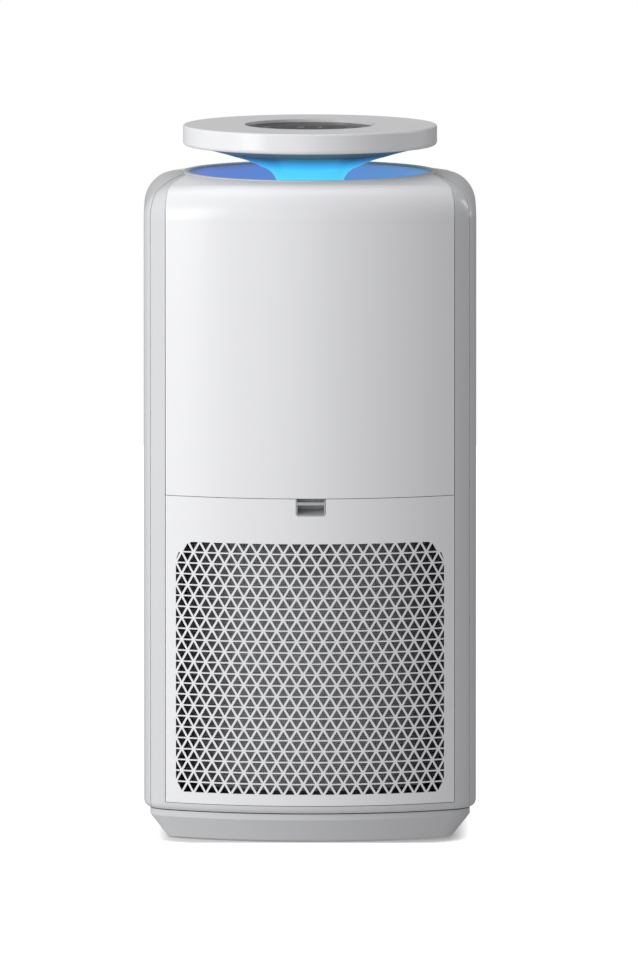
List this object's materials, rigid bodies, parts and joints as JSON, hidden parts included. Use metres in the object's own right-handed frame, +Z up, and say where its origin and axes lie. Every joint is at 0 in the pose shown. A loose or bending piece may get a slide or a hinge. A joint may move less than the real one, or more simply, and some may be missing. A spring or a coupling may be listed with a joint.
{
  "type": "air purifier",
  "caption": "Free-standing tower air purifier: bowed square body, triangular lattice inlet on a lift-off filter cover, and a floating round head over a lit outlet bowl.",
  "frame": {"origin": "centre of the footprint at the underside of the feet, on the floor", "axes": "+Z up, towards the control head; the lattice inlet and filter cover face -Y; +X is to the right seen from the front"},
  "size_m": [0.2394, 0.24, 0.51],
  "materials": {
    "white_shell": "satin moulded",
    "grey_shell": "satin moulded",
    "base_grey": "satin moulded",
    "pull_grey": "satin",
    "disc_white": "satin moulded",
    "control_glass": "polished",
    "lit_blue": "translucent, lit blue",
    "bowl_blue": "satin, lit blue",
    "inner_black": "moulded",
    "inner_grey": "moulded",
    "pcb_green": "lacquered",
    "components": "mixed",
    "steel": "bright",
    "rubber": "matte",
    "filter_paper": "pleated paper",
    "carbon": "granular",
    "mesh_grey": "woven",
    "strap_blue": "woven",
    "magnet": "plated",
    "brass": "bright"
  },
  "bodies": {
    "housing": {"front_upper_panel": "white_shell", "rear_panel": "white_shell", "side_panel_left": "grey_shell", "side_panel_right": "grey_shell", "chassis_frame": "grey_shell", "top_rim": "grey_shell", "base_skirt": "base_grey", "disc_top": "disc_white", "disc_underside": "disc_white", "control_glass": "control_glass", "light_cone": "lit_blue", "light_ring": "lit_blue", "outlet_bowl": "bowl_blue", "outlet_guard": "inner_grey", "led_board": "pcb_green", "status_leds": "lit_blue", "neck_tube": "inner_grey", "disc_screws": "steel", "control_board": "pcb_green", "touch_pads": "steel", "fan_deck": "inner_grey", "deck_screws": "steel", "fan_housing": "inner_grey", "motor": "steel", "motor_dampers": "rubber", "motor_screws": "steel", "motor_mount": "inner_grey", "motor_cap": "inner_grey", "magnet_keepers": "steel", "door_switch": "inner_black", "dust_sensor": "inner_black", "power_board": "pcb_green", "power_components": "components", "power_inlet": "inner_black", "inlet_pins": "brass", "base_screws": "steel", "rubber_feet": "rubber"},
    "impeller_group": {"impeller": "inner_black", "impeller_nut": "brass", "motor_shaft": "steel"},
    "cover": {"filter_cover": "white_shell", "inlet_grille": "white_shell", "finger_pull": "pull_grey", "cover_magnets": "magnet"},
    "cartridge": {"filter_base_cap": "inner_black", "filter_media": "filter_paper", "carbon_layer": "carbon", "prefilter_mesh": "mesh_grey", "filter_top_cap": "inner_black", "filter_gasket": "rubber", "pull_tab": "strap_blue"},
    "plunger": {"switch_plunger": "pull_grey"}
  },
  "joints": [
    {"name": "impeller_spin", "type": "hinge", "parent": "housing", "child": "impeller_group", "pos_m": [0, 0, 0.3], "axis": [0, 0, 1], "continuous": true},
    {"name": "cover_off", "type": "slide", "parent": "housing", "child": "cover", "axis": [0, -1, 0], "range_m": [0, 0.4]},
    {"name": "cartridge_out", "type": "slide", "parent": "housing", "child": "cartridge", "axis": [0, -1, 0], "range_m": [0, 0.24]},
    {"name": "plunger_out", "type": "slide", "parent": "housing", "child": "plunger", "axis": [0, -1, 0], "range_m": [0, 0.002]}
  ],
  "couplings": [
    {"joint": "cartridge_out", "follows": "cover_off", "ratio": 0.6},
    {"joint": "plunger_out", "follows": "cover_off", "ratio": 0.005}
  ]
}
